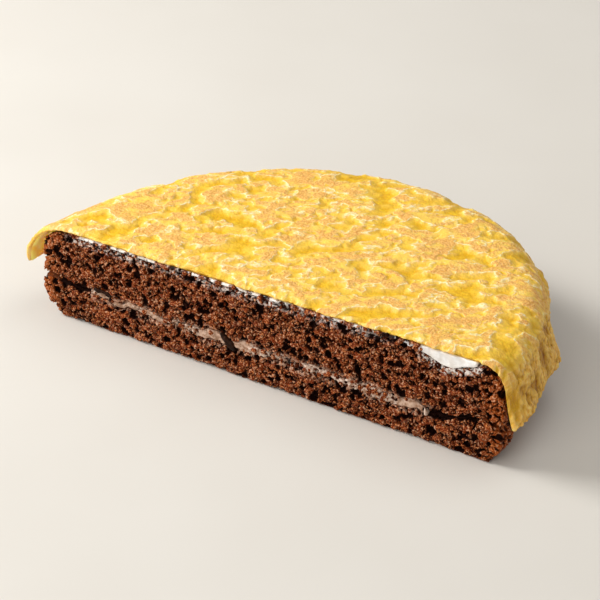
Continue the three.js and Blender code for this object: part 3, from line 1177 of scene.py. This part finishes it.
def browned_crepe(coordinates):
    """The outside of the crepe."""
    flat = coordinates.node("ShaderNodeAttribute", {"attribute_name": "sheet"}, {}, "Vector")
    hanging = stored(coordinates, "hanging")
    hem = stored(coordinates, "hem")
    sunk, browned, crest = sheet_marks(flat)
    wrinkle = flat.noise(WRINKLE_SIZE)
    crinkle = flat.noise(CRINKLE_SIZE)
    speckle = flat.noise(SPECKLE_SIZE, roughness=0.6)
    off_cut = behind_cut(coordinates).rise(2.0 * MM, 12.0 * MM)
    base = pan_colour(sunk, browned, wrinkle, speckle)
    base = hung_colour(base, hanging, off_cut, sunk, wrinkle, crinkle)
    base = mix(hem.rise(0.05, 0.5) * speckle.rise(0.3, 0.55), base, rgb("b86a1c"))
    # Painted highlight: pale lines along the crests of the dimples, fewer on the hanging part.
    painted_crest_highlight = crest * speckle.rise(0.35, 0.5) * (1.0 - 0.85 * hanging)
    creased = 0.15 * crest + 0.3 * wrinkle + 0.6 * hanging * crinkle
    return {
        "colour": mix(0.85 * painted_crest_highlight, base, rgb("fff6c8")),
        "roughness": 0.42 + 0.15 * browned,
        "height": creased + speckle * (0.8 + 0.4 * browned),
        "bump": 0.4 * MM,
        "constants": {
            "Subsurface Weight": 0.15,
            "Subsurface Radius": (1.0, 0.55, 0.1),
            "Subsurface Scale": 1.0 * MM,
            "Specular IOR Level": 0.35,
        },
    }


def crepe_inside(coordinates):
    """The pale inside of the crepe, browned along its rim."""
    soft = coordinates.noise(4.0 * MM)
    yellow = mix(soft.rise(0.3, 0.7), rgb("f8d25c"), rgb("fce694"))
    return {
        "colour": mix(0.9 * stored(coordinates, "rim"), yellow, rgb("c07820")),
        "roughness": 0.5 + 0.1 * soft,
        "height": soft,
        "bump": 0.3 * MM,
        "constants": {
            "Subsurface Weight": 1.0,
            "Subsurface Radius": (1.0, 0.8, 0.3),
            "Subsurface Scale": 4.0 * MM,
        },
    }


# %% Give the crepe its two finishes
crepe.data.materials.append(finish("browned_crepe", browned_crepe))
crepe.data.materials.append(finish("crepe_inside", crepe_inside))
inside_points = [mark.value > 0.5 for mark in crepe.data.attributes["inside"].data]
select_faces(crepe, lambda face: all(inside_points[corner] for corner in face.vertices))
crepe.active_material_index = 1
bpy.ops.object.material_slot_assign()
bpy.ops.object.mode_set(mode="OBJECT")
print(sum(face.material_index for face in crepe.data.polygons), "faces of the crepe have the inside finish")

# %% [markdown]
# ## Floor and light
#
# The cake stands on a plain pale floor. The light is soft and comes from the left of the picture, as from a
# large window. A picture of a room could light it too, but three square lights are easier to place: the
# window, a weak light from above and behind, and a reflector that lifts the cut. A pale fill comes from
# all round.

# %% The floor
FLOOR_SIZE = 6.0

bpy.ops.object.select_all(action="DESELECT")
bpy.ops.mesh.primitive_plane_add(size=FLOOR_SIZE, location=(0.0, 0.0, 0.0))
floor = bpy.context.object
floor.name = "floor"
floor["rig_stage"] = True


def pale_floor(coordinates):
    """A pale, faintly uneven floor."""
    soft = coordinates.noise(60.0 * MM)
    return {
        "colour": mix(soft, rgb("d6d0c6"), rgb("dcd7ce")),
        "roughness": 0.6 + 0.1 * soft,
        "height": soft,
        "bump": 0.1 * MM,
    }


floor.data.materials.append(finish("pale_floor", pale_floor))


# %% The lights
def soft_box(name, turn, rise, distance, size, power):
    """A square area light that looks at the cake, from a turn and a rise given in degrees."""
    turn = math.radians(turn)
    rise = math.radians(rise)
    bpy.ops.object.light_add(
        type="AREA",
        location=distance * toward(turn, rise),
        rotation=(math.pi / 2 - rise, 0.0, turn),
    )
    light = bpy.context.object
    light.name = name
    light.data.size = size
    light.data.energy = power


soft_box("window", turn=-75.0, rise=38.0, distance=0.9, size=0.4, power=8.0)
soft_box("overhead", turn=140.0, rise=65.0, distance=1.0, size=0.8, power=2.5)
soft_box("reflector", turn=0.0, rise=30.0, distance=1.0, size=0.8, power=3.2)

# %% The fill all round
FILL_COLOUR = (1.0, 0.98, 0.95, 1.0)
FILL_STRENGTH = 0.3

world = bpy.data.worlds.new("soft_room")
bpy.context.scene.world = world
world.use_nodes = True
fill = world.node_tree.nodes["Background"]
fill.inputs["Color"].default_value = FILL_COLOUR
fill.inputs["Strength"].default_value = FILL_STRENGTH
bpy.context.scene.view_settings.view_transform = "Standard"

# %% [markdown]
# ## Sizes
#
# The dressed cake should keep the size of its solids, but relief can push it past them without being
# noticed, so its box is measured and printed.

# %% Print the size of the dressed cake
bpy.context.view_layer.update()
dressed_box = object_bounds()
print("dressed cake spans", [round(side / MM, 1) for side in dressed_box[1] - dressed_box[0]], "mm")
